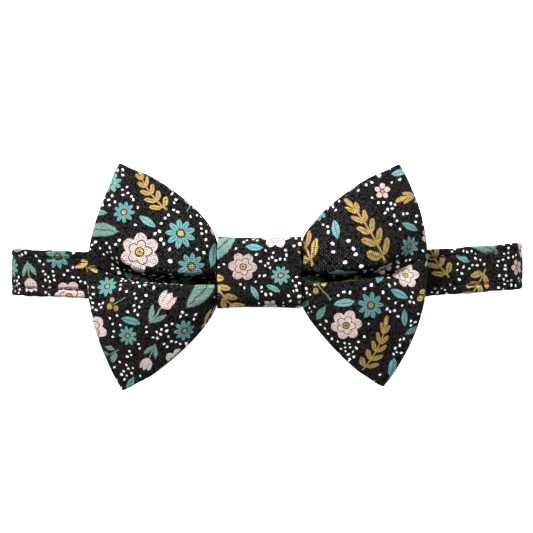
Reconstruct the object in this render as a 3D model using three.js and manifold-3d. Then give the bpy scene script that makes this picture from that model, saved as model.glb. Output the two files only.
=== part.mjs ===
// A cat's collar with a bow tie, lying on its back with the bow facing up.
// Millimetres, +Z up. X runs along the collar, Y is up for the wearer, and Z points away from the neck.
// The origin is on the surface the collar lies on, under the middle of the whole object.
import * as THREE from "three";
import Module from "manifold-3d";
import { mergeVertices } from "three/addons/utils/BufferGeometryUtils.js";

const wasm = await Module();
wasm.setup();

// Collar strap: webbing covered in cloth, lying as a flattened loop
const strapWidth = 12.7;
const strapThickness = 2;
const strapEdgeRound = 0.7;
const loopWidth = 141;
const loopDepth = 24;
const crownAngle = THREE.MathUtils.degToRad(10);
const leftEndRise = 1.5;
const rightEndRise = 3.3;
const sewnTabLength = 13;
const tabRampRadius = 4;

// Bow: one loop of doubled cloth, pinched in the middle
const bowWidth = 92.6;
const bowHeight = 61.8;
const clothThickness = 1.2;
const bowShiftAlongCollar = -2.1;
const wingPuff = 3.2;
const backPanelPeek = 0.7;

// Knot: a folded strip wrapped round the pinch
const knotWidth = 22.9;
const knotHeight = 19.6;
const knotDepth = 13;
const knotWall = 1.2;
const knotCorner = 4;
const knotWaist = 0.4;

// Keeper: an elastic loop behind the knot that the strap runs through
const keeperWidth = 12;
const keeperWall = 1;
const strapBelowKnotCentre = 1.4;

// Clasp: one closed block with a bar at each end for the strap
const claspBodyLength = 18;
const claspBarWidth = 2.2;
const claspBarThickness = 2;
const claspRailWidth = 1.5;
const claspRailInset = 0.1;
const claspRailThickness = 3.2;
const claspBarRound = 0.8;
const claspRound = 0.7;

// Clearance wherever two pieces meet
const fit = 0.3;

// Each wing's outline, from the middle of the knot: reaches as shares of bowWidth, heights of bowHeight.
// A flare is the power by which the long edge leaves the knot, and a curve is how round the outer fold is.
const wings = [
  { side: -1, reach: 0.506, topReach: 0.414, topHeight: 0.4806, topFlare: 0.53, topCurve: 1.67,
    bottomReach: 0.405, bottomHeight: 0.5194, bottomFlare: 0.615, bottomCurve: 2.15,
    creaseAtKnot: -0.058, creaseAtEnd: 0.019 },
  { side: 1, reach: 0.494, topReach: 0.415, topHeight: 0.4757, topFlare: 0.6, topCurve: 2.1,
    bottomReach: 0.369, bottomHeight: 0.5016, bottomFlare: 0.7, bottomCurve: 2.4,
    creaseAtKnot: -0.06, creaseAtEnd: 0.055 },
];
const flareStart = 0.01;
const creaseBend = 2.4;

// Sections along a wing's front panel, from the knot (0) to the outer fold (1).
// Crease, ridge and edge are heights above the knot's middle, as shares of the pleat's depth in the knot.
// Gap is half the space between front and back panel, as a share of wingPuff.
// Tuck is how far the panel's lower half stands up beside the crease and hangs over it.
const frontSections = [
  { along: 0.0, crease: -0.5, ridge: 0.5, edge: -0.1, gap: 0.5, tuck: 1.0 },
  { along: 0.06, crease: -0.68, ridge: 0.62, edge: -0.08, gap: 0.56, tuck: 1.0 },
  { along: 0.18, crease: -0.82, ridge: 0.78, edge: 0.0, gap: 0.76, tuck: 1.0 },
  { along: 0.36, crease: -0.75, ridge: 0.82, edge: 0.05, gap: 1.0, tuck: 0.95 },
  { along: 0.56, crease: -0.55, ridge: 0.7, edge: 0.02, gap: 1.0, tuck: 0.8 },
  { along: 0.76, crease: -0.35, ridge: 0.48, edge: -0.05, gap: 0.88, tuck: 0.5 },
  { along: 0.9, crease: -0.22, ridge: 0.3, edge: -0.1, gap: 0.7, tuck: 0.2 },
  { along: 1.0, crease: -0.15, ridge: 0.18, edge: -0.15, gap: 0.58, tuck: 0.0 },
];

// The back panel's crease and ridge at sections of its own. Its edge and gap are the front's.
const backSections = [
  { along: 0.0, crease: -0.5, ridge: 0.5 },
  { along: 0.18, crease: -0.45, ridge: 0.4 },
  { along: 0.56, crease: -0.34, ridge: 0.3 },
  { along: 1.0, crease: -0.15, ridge: 0.18 },
];
const ridgePosition = 0.5;
const tuckedRidgePosition = 0.15;
const tuckOverhang = 0.85;
const creaseSoftness = 0.25;
const pinchInsideKnot = 0.2;
const pinchStation = 0.6;

// Where the loft has its sections: along the wing, round its outer fold, and across the cloth
const wingStations = [0, 0.02, 0.06, 0.12, 0.2, 0.3, 0.41, 0.53, 0.65, 0.77, 0.89, 1];
const foldAngles = [60, 30, 0, -30, -60].map(THREE.MathUtils.degToRad);
const acrossLower = [-1, -0.85, -0.68, -0.5, -0.36, -0.25, -0.16, -0.1, -0.05];
const acrossUpper = [0.05, 0.12, 0.22, 0.36, 0.5, 0.66, 0.83, 1];
const across = [...acrossLower, 0, ...acrossUpper];

// Heights of the stack: strap, keeper, knot
const keeperTop = loopDepth + fit + keeperWall;
const knotBack = keeperTop + fit;
const knotMiddle = knotBack + knotDepth / 2;
const wallHalf = clothThickness / 2;
const pleatHalfHeight = knotHeight / 2 - knotWall - fit - wallHalf;
const gapInKnot = wingPuff * frontSections[0].gap;
const pleatDepth = knotDepth - 2 * (knotWall + fit + wallHalf + gapInKnot);

// Places across the collar: Y 0 is halfway between the bow's highest and lowest corner
const highest = Math.max(...wings.map((w) => w.topHeight)) * bowHeight;
const lowest = Math.max(...wings.map((w) => w.bottomHeight)) * bowHeight;
const knotCentreY = (lowest - highest) / 2;
const strapCentreY = knotCentreY - strapBelowKnotCentre;

// Along the collar: the clasp's bars have their inner edges here
const barInnerEdge = claspBodyLength / 2 + strapThickness + 2 * fit;

// Builds a closed surface through rings that all have the same number of points.
// A closed loft joins its last ring to its first, and an open one is capped at both ends.
function loft(rings, closed) {
  const perRing = rings[0].length;
  const positions = rings.flat().flatMap((p) => [p.x, p.y, p.z]);
  const faces = [];
  const spans = closed ? rings.length : rings.length - 1;
  for (let i = 0; i < spans; i += 1) {
    const here = i * perRing;
    const next = ((i + 1) % rings.length) * perRing;
    for (let j = 0; j < perRing; j += 1) {
      const k = (j + 1) % perRing;
      faces.push(here + j, here + k, next + k, here + j, next + k, next + j);
    }
  }
  if (!closed) {
    const last = (rings.length - 1) * perRing;
    for (let j = 1; j < perRing - 1; j += 1) {
      faces.push(0, j + 1, j, last, last + j, last + j + 1);
    }
  }
  const geometry = new THREE.BufferGeometry();
  geometry.setAttribute("position", new THREE.Float32BufferAttribute(positions, 3));
  geometry.setIndex(faces);
  return faceOutwards(geometry);
}

// Turns every triangle round if the surface encloses a negative volume
function faceOutwards(geometry) {
  const index = geometry.getIndex();
  const corner = [new THREE.Vector3(), new THREE.Vector3(), new THREE.Vector3()];
  let volume = 0;
  for (let i = 0; i < index.count; i += 3) {
    corner.forEach((c, n) => c.fromBufferAttribute(geometry.getAttribute("position"), index.getX(i + n)));
    volume += corner[0].dot(corner[1].clone().cross(corner[2]));
  }
  if (volume < 0) {
    geometry.setIndex(Array.from(index.array).reverse());
  }
  return geometry;
}

// A smooth curve through one column of a table, by cubic Hermite pieces
function column(table, key, name) {
  const slope = (i) => {
    const before = table[Math.max(0, i - 1)];
    const after = table[Math.min(table.length - 1, i + 1)];
    return (after[name] - before[name]) / (after[key] - before[key]);
  };
  return (at) => {
    let i = 0;
    while (i < table.length - 2 && at > table[i + 1][key]) {
      i += 1;
    }
    const span = table[i + 1][key] - table[i][key];
    const s = THREE.MathUtils.clamp((at - table[i][key]) / span, 0, 1);
    const stay = (1 + 2 * s) * (1 - s) ** 2;
    const go = s * s * (3 - 2 * s);
    const leave = s * (1 - s) ** 2 * span;
    const arrive = s * s * (s - 1) * span;
    return stay * table[i][name] + go * table[i + 1][name] + leave * slope(i) + arrive * slope(i + 1);
  };
}

const front = {
  crease: column(frontSections, "along", "crease"),
  ridge: column(frontSections, "along", "ridge"),
};
const back = {
  crease: column(backSections, "along", "crease"),
  ridge: column(backSections, "along", "ridge"),
};
const edgeAt = column(frontSections, "along", "edge");
const gapAt = column(frontSections, "along", "gap");
const tuckAt = column(frontSections, "along", "tuck");

// How far the cloth is tucked at v: only the front panel's lower half is
function tucked(along, v, face) {
  return face > 0 && v < 0 ? tuckAt(along) : 0;
}

// Where the ridge lies between the crease (0) and the long edge (1)
function ridgePlace(along, v, face) {
  return THREE.MathUtils.lerp(ridgePosition, tuckedRidgePosition, tucked(along, v, face));
}

// Height of the pleated cloth above the knot's middle: a crease at v 0, a ridge each side, edges curling back
function pleatHeight(along, v, face) {
  const panel = face > 0 ? front : back;
  const crease = panel.crease(along);
  const ridge = panel.ridge(along);
  const distance = Math.abs(v);
  const place = ridgePlace(along, v, face);
  if (distance < place) {
    const soft = Math.hypot(distance / place, creaseSoftness) - creaseSoftness;
    const climb = Math.sin((Math.PI / 2) * (soft / (Math.hypot(1, creaseSoftness) - creaseSoftness)));
    return pleatDepth * THREE.MathUtils.lerp(crease, ridge, climb);
  }
  const g = (distance - place) / (1 - place);
  return pleatDepth * THREE.MathUtils.lerp(ridge, edgeAt(along), 1 - Math.cos((Math.PI / 2) * g));
}

// A wing's cloth runs out to here at v: furthest in the middle, least at the corners
function wingReach(wing, v) {
  const middle = wing.reach * bowWidth;
  const corner = (v > 0 ? wing.topReach : wing.bottomReach) * bowWidth;
  const curve = v > 0 ? wing.topCurve : wing.bottomCurve;
  return middle - (middle - corner) * Math.abs(v) ** curve - wallHalf;
}

// A long edge's way from the knot (0) to the wing's corner (1)
function flare(along, power) {
  const grown = (a) => (a + flareStart) ** power - flareStart ** power;
  return grown(along) / grown(1);
}

// How far the tucked cloth leans over the crease, as a share of the wing's half height there
function overhang(along, v, face) {
  const place = ridgePlace(along, v, face);
  const swell = Math.sin((Math.PI / 2) * Math.min(2, Math.abs(v) / place));
  return tucked(along, v, face) * tuckOverhang * place * swell;
}

// The cloth's own middle surface on a front (1) or back (-1) panel
function panelPoint(wing, along, v, face) {
  const foldRadius = wingPuff * gapAt(1);
  const wingStart = knotWidth / 2 + fit;
  const x = wingStart + (wingReach(wing, v) - foldRadius - wingStart) * along;
  const cornerHeight = (v > 0 ? wing.topHeight : wing.bottomHeight) * bowHeight - wallHalf;
  const spread = flare(along, v > 0 ? wing.topFlare : wing.bottomFlare);
  const peek = face > 0 ? backPanelPeek * Math.sin(Math.PI * Math.sqrt(along)) * v * v : 0;
  const half = THREE.MathUtils.lerp(pleatHalfHeight, cornerHeight, spread) - peek;
  const creaseY = THREE.MathUtils.lerp(wing.creaseAtKnot, wing.creaseAtEnd, along ** creaseBend) * bowHeight;
  const y = v * half + creaseY * (1 - Math.abs(v)) + overhang(along, v, face) * half;
  const z = pleatHeight(along, v, face) + face * wingPuff * gapAt(along);
  return new THREE.Vector3(wing.side * x, y, z);
}

// The same surface where it turns from the front panel into the back panel
function foldPoint(wing, angle, v) {
  const radius = wingPuff * gapAt(1);
  const point = panelPoint(wing, 1, v, 1);
  point.x += wing.side * radius * Math.cos(angle);
  point.z += radius * (Math.sin(angle) - 1);
  return point;
}

// Inside the knot the cloth narrows towards the middle
function pinchedPoint(share, v, face, wing) {
  const atKnotEdge = panelPoint(wing, 0, v, face);
  const narrow = 1 - pinchInsideKnot * (1 - share * share);
  return new THREE.Vector3(atKnotEdge.x * share, atKnotEdge.y * narrow, atKnotEdge.z);
}

// One row of points across the cloth for each station round the whole loop
function bowRows() {
  const rows = [];
  const addWing = (wing, forwards) => {
    const half = [across.map((v) => pinchedPoint(pinchStation, v, 1, wing))];
    wingStations.forEach((s) => half.push(across.map((v) => panelPoint(wing, s, v, 1))));
    foldAngles.forEach((angle) => half.push(across.map((v) => foldPoint(wing, angle, v))));
    [...wingStations].reverse().forEach((s) => half.push(across.map((v) => panelPoint(wing, s, v, -1))));
    half.push(across.map((v) => pinchedPoint(pinchStation, v, -1, wing)));
    rows.push(...(forwards ? half : half.reverse()));
  };
  rows.push(across.map((v) => pinchedPoint(0, v, 1, wings[1])));
  addWing(wings[1], true);
  rows.push(across.map((v) => pinchedPoint(0, v, -1, wings[1])));
  addWing(wings[0], false);
  return rows;
}

// Gives the rows of the cloth's middle surface their thickness, with rounded long edges
function thicken(rows) {
  const count = rows.length;
  const wide = rows[0].length;
  return rows.map((row, i) => {
    const before = rows[(i + count - 1) % count];
    const after = rows[(i + 1) % count];
    const outer = [];
    const inner = [];
    row.forEach((point, j) => {
      const alongCloth = after[j].clone().sub(before[j]);
      const acrossCloth = row[Math.min(wide - 1, j + 1)].clone().sub(row[Math.max(0, j - 1)]);
      const normal = alongCloth.cross(acrossCloth).normalize().multiplyScalar(wallHalf);
      outer.push(point.clone().add(normal));
      inner.push(point.clone().sub(normal));
    });
    const edge = (from, to) => to.clone().sub(from).setLength(wallHalf).add(to);
    return [...outer, edge(row[wide - 2], row[wide - 1]), ...inner.reverse(), edge(row[1], row[0])];
  });
}

// Points round a rectangle with round corners, in the plane of its two half sizes
function roundedSection(halfWide, halfHigh, radius, stepsPerCorner) {
  const points = [];
  for (let quarter = 0; quarter < 4; quarter += 1) {
    const [sx, sy] = [[1, 1], [-1, 1], [-1, -1], [1, -1]][quarter];
    for (let s = 0; s <= stepsPerCorner; s += 1) {
      const angle = (Math.PI / 2) * (quarter + s / stepsPerCorner);
      points.push(new THREE.Vector2(
        sx * (halfWide - radius) + radius * Math.cos(angle),
        sy * (halfHigh - radius) + radius * Math.sin(angle),
      ));
    }
  }
  return points;
}

// A band that runs round the X axis, its section a thin wall. Narrowing pulls the middle of the band in.
function band(width, halfY, halfZ, wall, corner, narrowing, steps) {
  const stations = [-1, -0.5, 0, 0.5, 1];
  const ring = (share, inset) => {
    const pull = narrowing * (1 - share * share);
    const radius = Math.max(corner - inset, wall / 2);
    return roundedSection(halfY - inset - pull, halfZ - inset, radius, steps)
      .map((p) => new THREE.Vector3((share * width) / 2, p.x, p.y));
  };
  const outside = stations.map((s) => ring(s, 0));
  const inside = stations.map((s) => ring(s, wall)).reverse();
  return loft([...outside, ...inside], true);
}

// The right half of the strap's centre line, as points (x, z), from the top to the tab's end.
// A crown arc falls gently from the middle, an end arc turns back, and a straight runs to the clasp's bar.
function strapHalfRoute() {
  const half = strapThickness / 2;
  const reach = loopWidth / 2 - half;
  const fall = loopDepth - strapThickness;
  const [s, c] = [Math.sin(crownAngle), Math.cos(crownAngle)];
  const crownRadius = (reach * (1 + c) - fall * (1 - s)) / (s * (1 + c) - (1 - c) * (1 - s));
  const endRadius = (fall - crownRadius * (1 - c)) / (1 + c);
  const points = [];
  const turtle = { x: 0, z: loopDepth - half, heading: 0 };
  const arc = (radius, angle, steps) => {
    const way = Math.sign(angle);
    const centre = {
      x: turtle.x - way * radius * Math.sin(turtle.heading),
      z: turtle.z + way * radius * Math.cos(turtle.heading),
    };
    for (let i = 1; i <= steps; i += 1) {
      const heading = turtle.heading + (angle * i) / steps;
      points.push(new THREE.Vector2(
        centre.x + way * radius * Math.sin(heading),
        centre.z - way * radius * Math.cos(heading),
      ));
    }
    turtle.heading += angle;
    turtle.x = points.at(-1).x;
    turtle.z = points.at(-1).y;
  };
  const lineTo = (x, steps) => {
    const from = turtle.x;
    for (let i = 1; i <= steps; i += 1) {
      points.push(new THREE.Vector2(THREE.MathUtils.lerp(from, x, i / steps), turtle.z));
    }
    turtle.x = x;
  };
  const crownSteps = 8;
  const endSteps = 14;
  const floorSteps = 8;
  const barSteps = 8;
  const tabSteps = 3;
  points.push(new THREE.Vector2(turtle.x, turtle.z));
  arc(crownRadius, -crownAngle, crownSteps);
  arc(endRadius, crownAngle - Math.PI, endSteps);
  const aroundBar = claspBarThickness / 2 + fit + half;
  lineTo(barInnerEdge + claspBarThickness / 2, floorSteps);
  arc(aroundBar, -Math.PI, barSteps);
  turtle.heading = 0;
  lineTo(barInnerEdge + claspBarWidth, tabSteps);
  const drop = 2 * aroundBar - (strapThickness + fit);
  const rampAngle = Math.acos(1 - drop / (2 * tabRampRadius));
  arc(tabRampRadius, -rampAngle, tabSteps);
  arc(tabRampRadius, rampAngle, tabSteps);
  lineTo(turtle.x + sewnTabLength, tabSteps);
  return points;
}

// The strap's ends lie a little higher than its middle
function strapRise(x) {
  const share = Math.abs(x) / (loopWidth / 2);
  return (x < 0 ? leftEndRise : rightEndRise) * share * share;
}

function strapGeometry() {
  const right = strapHalfRoute();
  const left = right.slice(1).map((p) => new THREE.Vector2(-p.x, p.y)).reverse();
  const route = [...left, ...right];
  const section = roundedSection(strapWidth / 2, strapThickness / 2, strapEdgeRound, 2);
  const rings = route.map((point, i) => {
    const before = route[Math.max(0, i - 1)];
    const after = route[Math.min(route.length - 1, i + 1)];
    const direction = after.clone().sub(before).normalize();
    const up = new THREE.Vector3(-direction.y, 0, direction.x);
    const centre = new THREE.Vector3(point.x, strapCentreY + strapRise(point.x), point.y);
    return section.map((p) => centre.clone().addScaledVector(up, p.y).add(new THREE.Vector3(0, p.x, 0)));
  });
  return loft(rings, false);
}

// manifold-3d solids from three.js geometry, and back
function toSolid(geometry) {
  const bare = geometry.clone();
  bare.deleteAttribute("normal");
  bare.deleteAttribute("uv");
  const merged = mergeVertices(bare, 1e-4);
  return new wasm.Manifold(new wasm.Mesh({
    numProp: 3,
    vertProperties: new Float32Array(merged.getAttribute("position").array),
    triVerts: new Uint32Array(merged.getIndex().array),
  }));
}

function toGeometry(solid) {
  const mesh = solid.getMesh();
  const geometry = new THREE.BufferGeometry();
  geometry.setAttribute("position", new THREE.Float32BufferAttribute(mesh.vertProperties, 3));
  geometry.setIndex(Array.from(mesh.triVerts));
  return geometry;
}

// A plate with round corners that lies between two heights
function plate(length, width, bottom, top) {
  const shape = new THREE.Shape(roundedSection(length / 2, width / 2, claspRound, 4));
  const bevel = Math.min(claspRound, (top - bottom) / 2) / 2;
  return toSolid(new THREE.ExtrudeGeometry(shape, {
    depth: top - bottom - 2 * bevel,
    bevelSize: bevel,
    bevelOffset: -bevel,
    bevelThickness: bevel,
    bevelSegments: 2,
  }).translate(0, 0, bottom + bevel));
}

// A bar across the clasp that the strap turns round, centred on X 0 and Z 0
function claspBar(span) {
  const shape = new THREE.Shape(roundedSection(claspBarWidth / 2, claspBarThickness / 2, claspBarRound, 3));
  const bar = new THREE.ExtrudeGeometry(shape, { depth: span, bevelEnabled: false });
  return toSolid(bar.translate(0, 0, -span / 2).rotateX(Math.PI / 2));
}

// The block stands on the surface, and two rails hold the bars above the strap
function claspGeometry() {
  const barMiddle = strapThickness + fit + claspBarThickness / 2;
  const blockTop = 2 * barMiddle;
  const railY = strapWidth / 2 + fit + claspRailWidth / 2;
  const railLow = barMiddle - claspRailThickness / 2;
  const railHigh = barMiddle + claspRailThickness / 2;
  const barX = barInnerEdge + claspBarWidth / 2;
  let clasp = plate(claspBodyLength, 2 * railY + claspRailWidth + 2 * claspRailInset, 0, blockTop);
  [-1, 1].forEach((side) => {
    const rail = plate(2 * barX + claspBarWidth + claspRailInset, claspRailWidth, railLow, railHigh);
    const bar = claspBar(2 * railY);
    clasp = clasp.add(rail.translate(0, side * railY, 0));
    clasp = clasp.add(bar.translate(side * barX, 0, barMiddle));
  });
  return toGeometry(clasp);
}

const cottonPrint = { color: 0x24201f, roughness: 0.85, metalness: 0 };
const elastic = { color: 0x1b1b1c, roughness: 0.9, metalness: 0 };
const moulded = { color: 0x161617, roughness: 0.45, metalness: 0 };

function piece(name, geometry, material, x, y, z) {
  geometry.computeVertexNormals();
  const mesh = new THREE.Mesh(geometry, new THREE.MeshStandardMaterial(material));
  mesh.name = name;
  mesh.position.set(x, y, z);
  return mesh;
}

const collar = new THREE.Group();
const bowTie = new THREE.Group();
bowTie.position.set(bowShiftAlongCollar, 0, 0);
collar.add(bowTie);

bowTie.add(piece("bow", loft(thicken(bowRows()), true), cottonPrint, 0, knotCentreY, knotMiddle));

const knotBand = band(knotWidth, knotHeight / 2, knotDepth / 2, knotWall, knotCorner, knotWaist, 4);
bowTie.add(piece("knot", knotBand, cottonPrint, 0, knotCentreY, knotMiddle));

const keeperHalfY = strapWidth / 2 + fit + keeperWall;
const keeperHalfZ = strapThickness / 2 + fit + keeperWall;
const keeperBand = band(keeperWidth, keeperHalfY, keeperHalfZ, keeperWall, keeperWall, 0, 3);
bowTie.add(piece("keeper_loop", keeperBand, elastic, 0, strapCentreY, keeperTop - keeperHalfZ));

collar.add(piece("strap", strapGeometry(), cottonPrint, 0, 0, 0));
collar.add(piece("clasp", claspGeometry(), moulded, 0, strapCentreY, 0));

export default collar;
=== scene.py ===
# A cat's collar with a bow tie, lying on its back: printed cotton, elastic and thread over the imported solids.
# Lengths here are millimetres, as in the part's source, and become metres where a mesh is made.
import math
from functools import partialmethod

import bpy
import numpy as np
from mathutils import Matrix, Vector


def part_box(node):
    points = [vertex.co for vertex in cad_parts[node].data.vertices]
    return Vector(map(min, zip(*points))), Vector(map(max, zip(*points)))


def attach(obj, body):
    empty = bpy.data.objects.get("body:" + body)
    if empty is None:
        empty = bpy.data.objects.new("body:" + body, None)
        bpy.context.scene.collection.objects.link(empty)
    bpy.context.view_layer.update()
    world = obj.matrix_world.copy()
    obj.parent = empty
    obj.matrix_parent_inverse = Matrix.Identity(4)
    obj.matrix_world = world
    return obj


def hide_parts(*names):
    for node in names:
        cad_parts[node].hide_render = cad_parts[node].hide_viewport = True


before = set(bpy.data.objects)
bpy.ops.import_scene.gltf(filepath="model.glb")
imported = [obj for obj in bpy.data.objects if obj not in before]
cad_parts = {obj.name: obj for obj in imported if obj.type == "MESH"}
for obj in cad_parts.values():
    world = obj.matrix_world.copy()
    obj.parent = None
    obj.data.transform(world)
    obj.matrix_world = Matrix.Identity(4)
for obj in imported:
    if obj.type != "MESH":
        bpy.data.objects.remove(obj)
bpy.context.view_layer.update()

MM = 0.001


def node_box(node):
    """A node's lowest and highest corner, in millimetres."""
    low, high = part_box(node)
    return np.array(low) / MM, np.array(high) / MM


def table(columns, *rows):
    """A table's rows as dicts, from its columns' names and each row's values."""
    return [dict(zip(columns.split(), row)) for row in rows]


KNOT_LOW, KNOT_HIGH = node_box("knot")
KEEPER_LOW, KEEPER_HIGH = node_box("keeper_loop")
STRAP_LOW, STRAP_HIGH = node_box("strap")
CLASP_HIGH = node_box("clasp")[1]
KNOT_MIDDLE = (KNOT_LOW + KNOT_HIGH) / 2
KNOT_WIDTH, KNOT_HEIGHT, KNOT_DEPTH = KNOT_HIGH - KNOT_LOW
KEEPER_MIDDLE = (KEEPER_LOW + KEEPER_HIGH) / 2
STRAP_Y = KEEPER_MIDDLE[1]

# Sizes that the source gives and no node's box shows
FIT = 0.3
STRAP_WIDTH = 12.7
STRAP_THICKNESS = 2.0
STRAP_EDGE_ROUND = 0.7
CROWN_ANGLE = math.radians(10)
LEFT_END_RISE = 1.5
RIGHT_END_RISE = 3.3
SEWN_TAB_LENGTH = 13.0
TAB_RAMP_RADIUS = 4.0
BOW_WIDTH = 92.6
BOW_HEIGHT = 61.8
CLOTH_THICKNESS = 1.2
WING_PUFF = 3.2
BACK_PANEL_PEEK = 0.7
KNOT_WALL = 1.2
KNOT_CORNER = 4.0
KNOT_WAIST = 0.4
KEEPER_WALL = 1.0
CLASP_BAR_WIDTH = 2.2
CLASP_BAR_THICKNESS = 2.0
CLASP_RAIL_INSET = 0.1

WINGS = [
    dict(side=-1, reach=0.506, top_reach=0.414, top_height=0.4806, top_flare=0.53, top_curve=1.67,
         bottom_reach=0.405, bottom_height=0.5194, bottom_flare=0.615, bottom_curve=2.15,
         crease_at_knot=-0.058, crease_at_end=0.019, crease_shift=1.0),
    dict(side=1, reach=0.494, top_reach=0.415, top_height=0.4757, top_flare=0.6, top_curve=2.1,
         bottom_reach=0.369, bottom_height=0.5016, bottom_flare=0.7, bottom_curve=2.4,
         crease_at_knot=-0.06, crease_at_end=0.055, crease_shift=0.25),
]
FLARE_START = 0.01
CREASE_BEND = 2.4
FRONT_SECTIONS = table(
    "along crease ridge edge gap tuck",
    (0.0, -0.5, 0.5, -0.1, 0.5, 1.0),
    (0.06, -0.68, 0.62, -0.08, 0.56, 1.0),
    (0.18, -0.82, 0.78, 0.0, 0.76, 1.0),
    (0.36, -0.75, 0.82, 0.05, 1.0, 0.95),
    (0.56, -0.55, 0.7, 0.02, 1.0, 0.8),
    (0.76, -0.35, 0.48, -0.05, 0.88, 0.5),
    (0.9, -0.22, 0.3, -0.1, 0.7, 0.2),
    (1.0, -0.15, 0.18, -0.15, 0.58, 0.0),
)
BACK_SECTIONS = table(
    "along crease ridge",
    (0.0, -0.5, 0.5),
    (0.18, -0.45, 0.4),
    (0.56, -0.34, 0.3),
    (1.0, -0.15, 0.18),
)
RIDGE_POSITION = 0.5
TUCKED_RIDGE_POSITION = 0.15
TUCK_OVERHANG = 0.85

# Finer forms of the front crease than the solid has, from the knot to the outer fold.
# Roll is how far the upper half rolls over and dives into it, and ridge is where that dive starts,
# as a share of the half's height. The rest is in millimetres: extra depth, a shift downwards, and
# the depth of the thin groove that it runs out in.
CREASE_DETAIL = table(
    "along roll ridge extra_depth shift groove",
    (0.0, 1.0, 0.4, 0.0, 0.8, 0.0),
    (0.15, 1.0, 0.26, 0.9, 1.0, 0.0),
    (0.45, 1.0, 0.19, 1.3, 1.2, 0.2),
    (0.7, 0.9, 0.13, 1.3, 0.9, 1.1),
    (0.88, 0.5, 0.1, 0.6, 0.4, 1.6),
    (1.0, 0.0, 0.1, 0.0, 0.0, 1.2),
)
CREASE_FLOOR = 0.4
GROOVE_WIDTH = 0.55
CREASE_SOFTNESS = 0.25
PINCH_INSIDE_KNOT = 0.2
CORNER_POINT = 0.9

# How far each kind of small fold in the bow stands off its plain form
FAN_HEIGHT = 0.36
LONG_FOLD_HEIGHT = 0.4
SLACK_HEIGHT = 0.16
PUCKER_HEIGHT = 0.1

WALL_HALF = CLOTH_THICKNESS / 2
PLEAT_HALF_HEIGHT = KNOT_HEIGHT / 2 - KNOT_WALL - FIT - WALL_HALF
GAP_IN_KNOT = WING_PUFF * FRONT_SECTIONS[0]["gap"]
PLEAT_DEPTH = KNOT_DEPTH - 2 * (KNOT_WALL + FIT + WALL_HALF + GAP_IN_KNOT)

# Topstitching along the strap
STITCH_FROM_EDGE = 2.2
STITCH_PITCH = 2.7
STITCH_LENGTH = 2.1
THREAD_RADIUS = 0.17
STITCH_SINK = 0.12
STITCH_GROOVE_DEPTH = 0.42
STITCH_GROOVE_WIDTH = 0.42
STITCH_PULL = 0.35
RIPPLE_HEIGHT = 0.05
PILLOW_HEIGHT = 0.1
TAB_SEAM_INSET = 1.5


def smooth(value, low, high):
    """0 below low, 1 above high, and a soft step between."""
    t = np.clip((value - low) / (high - low), 0, 1)
    return t * t * (3 - 2 * t)


def bell(value, middle, width):
    return np.exp(-(((value - middle) / width) ** 2))


def unit(vectors):
    return vectors / np.linalg.norm(vectors, axis=-1, keepdims=True)


def lengths_along(line):
    """How far along a line of points each one lies."""
    return np.concatenate([[0], np.cumsum(np.linalg.norm(np.diff(line, axis=0), axis=1))])


def points_at(t, at, line):
    """Flat points at t on a line of points, where at says how far along it each one lies."""
    return np.stack([np.interp(t, at, line[:, k]) for k in (0, 1)], -1)


def column(rows, name):
    """A smooth curve along the wing through one column of a table, by cubic Hermite pieces."""
    at = np.array([row["along"] for row in rows])
    value = np.array([row[name] for row in rows])
    last = len(at) - 1
    before = np.maximum(np.arange(last + 1) - 1, 0)
    after = np.minimum(np.arange(last + 1) + 1, last)
    slope = (value[after] - value[before]) / (at[after] - at[before])

    def curve(s):
        i = np.clip(np.searchsorted(at, s) - 1, 0, last - 1)
        span = at[i + 1] - at[i]
        t = np.clip((s - at[i]) / span, 0, 1)
        stay = (1 + 2 * t) * (1 - t) ** 2
        go = t * t * (3 - 2 * t)
        leave = t * (1 - t) ** 2 * span
        arrive = t * t * (t - 1) * span
        return stay * value[i] + go * value[i + 1] + leave * slope[i] + arrive * slope[i + 1]

    return curve


def curves(rows):
    """A curve for each of a table's columns."""
    return {name: column(rows, name) for name in rows[0] if name != "along"}


FRONT, BACK, DETAIL = (curves(rows) for rows in (FRONT_SECTIONS, BACK_SECTIONS, CREASE_DETAIL))
FOLD_RADIUS = WING_PUFF * FRONT["gap"](1.0)


# The bow's cloth. In what follows along runs from the knot (0) to the outer fold (1), v from the
# lower long edge (-1) over the crease (0) to the upper one (1), and face is 1 in front and -1 behind.
def tucked(along, v, face):
    """How far the cloth is tucked at v: only the front panel's lower half is."""
    return FRONT["tuck"](along) * (v < 0) * (face > 0)


def rolled(along, v, face):
    """How far the cloth rolls over at v: only the front panel's upper half does."""
    return DETAIL["roll"](along) * (v > 0) * (face > 0)


def ridge_place(along, v, face):
    """Where the ridge lies between the crease (0) and the long edge (1)."""
    place = RIDGE_POSITION + (TUCKED_RIDGE_POSITION - RIDGE_POSITION) * tucked(along, v, face)
    return place + (DETAIL["ridge"](along) - RIDGE_POSITION) * rolled(along, v, face)


def pleat_height(along, v, face):
    """Height above the knot's middle: a crease at v 0, a ridge each side, edges curling back."""
    sections = FRONT if face > 0 else BACK
    crease, ridge = sections["crease"](along), sections["ridge"](along)
    distance = np.abs(v)
    place = ridge_place(along, v, face)
    soft = np.hypot(distance / place, CREASE_SOFTNESS) - CREASE_SOFTNESS
    climb = np.sin((math.pi / 2) * (soft / (math.hypot(1, CREASE_SOFTNESS) - CREASE_SOFTNESS)))
    dive = smooth(distance / place, CREASE_FLOOR, 1.0)
    climb = climb + (dive - climb) * rolled(along, v, face)
    inner = crease + (ridge - crease) * climb
    beyond = (distance - place) / (1 - place)
    outer = ridge + (FRONT["edge"](along) - ridge) * (1 - np.cos((math.pi / 2) * beyond))
    deeper = DETAIL["extra_depth"](along) * (face > 0) * (1 - climb)
    return np.where(distance < place, PLEAT_DEPTH * inner - deeper, PLEAT_DEPTH * outer)


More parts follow.
